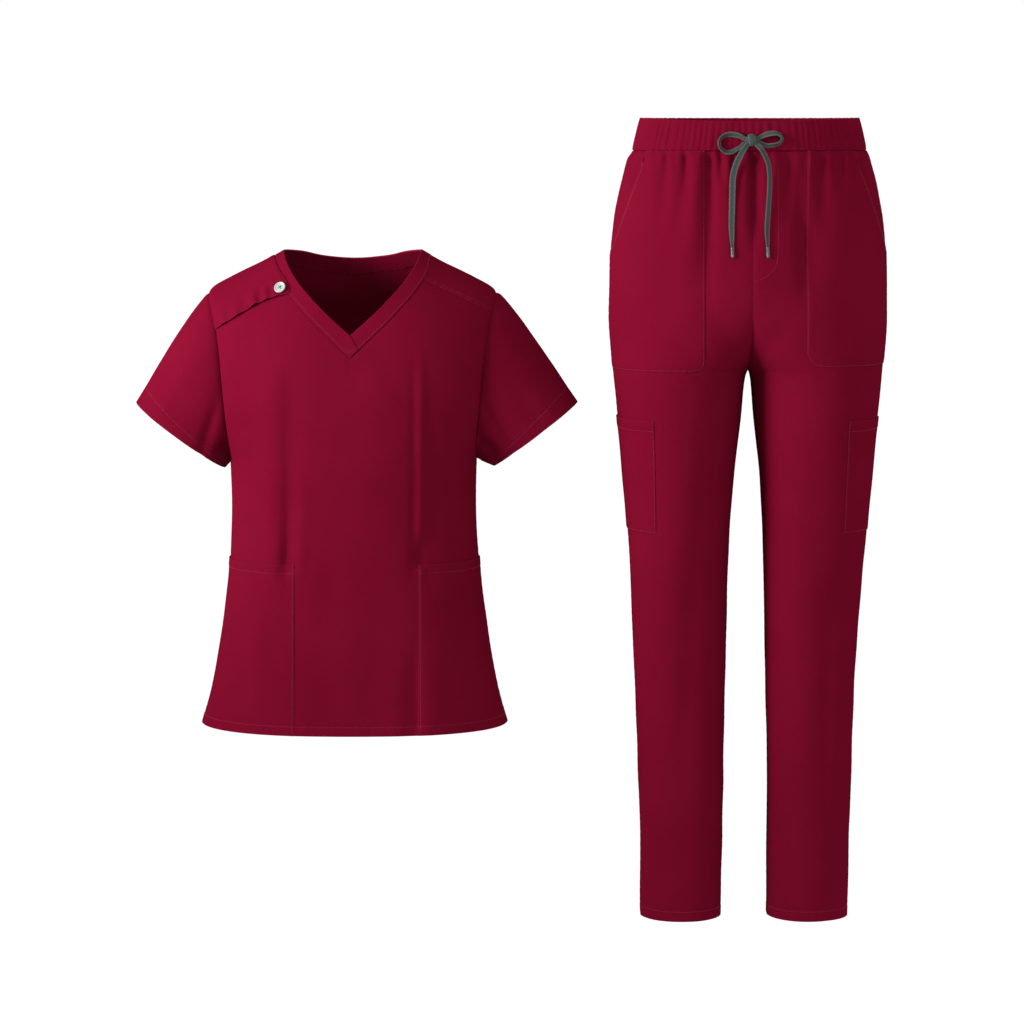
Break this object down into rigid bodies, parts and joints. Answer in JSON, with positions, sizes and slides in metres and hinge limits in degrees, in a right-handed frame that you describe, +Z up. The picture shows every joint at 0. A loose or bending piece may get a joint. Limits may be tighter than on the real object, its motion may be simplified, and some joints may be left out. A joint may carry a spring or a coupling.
{
  "type": "medical scrubs",
  "caption": "Short-sleeved V-neck scrub top with a buttoned shoulder flap and patch pockets, beside drawstring scrub trousers with slant and cargo pockets, both filled out as worn.",
  "frame": {"origin": "middle of the top's shoulders, level with the two points where the shoulder seams meet the neck", "axes": "+Z up, both fronts face -Y, and the trousers stand at +X of the top"},
  "size_m": [0.9564, 0.2521, 1.0241],
  "materials": {
    "wine_cloth": "satin woven",
    "grey_cord": "matte braided",
    "white_button": "semi-gloss"
  },
  "bodies": {
    "root": {"aglet_left": "grey_cord", "aglet_right": "grey_cord", "cargo_pocket_left": "wine_cloth", "cargo_pocket_right": "wine_cloth", "drawstring_knot": "grey_cord", "drawstring_loop_left": "grey_cord", "drawstring_loop_right": "grey_cord", "drawstring_tail_left": "grey_cord", "drawstring_tail_right": "grey_cord", "neckband_back": "wine_cloth", "neckband_left": "wine_cloth", "neckband_right": "wine_cloth", "shoulder_button": "white_button", "shoulder_flap": "wine_cloth", "top_back": "wine_cloth", "top_front": "wine_cloth", "top_pocket_left": "wine_cloth", "top_pocket_right": "wine_cloth", "top_sleeve_left": "wine_cloth", "top_sleeve_right": "wine_cloth", "top_yoke_right": "wine_cloth", "trouser_back_left": "wine_cloth", "trouser_back_right": "wine_cloth", "trouser_front_left": "wine_cloth", "trouser_front_right": "wine_cloth", "trouser_pocket_left": "wine_cloth", "trouser_pocket_right": "wine_cloth", "trouser_waistband": "wine_cloth"}
  },
  "joints": []
}
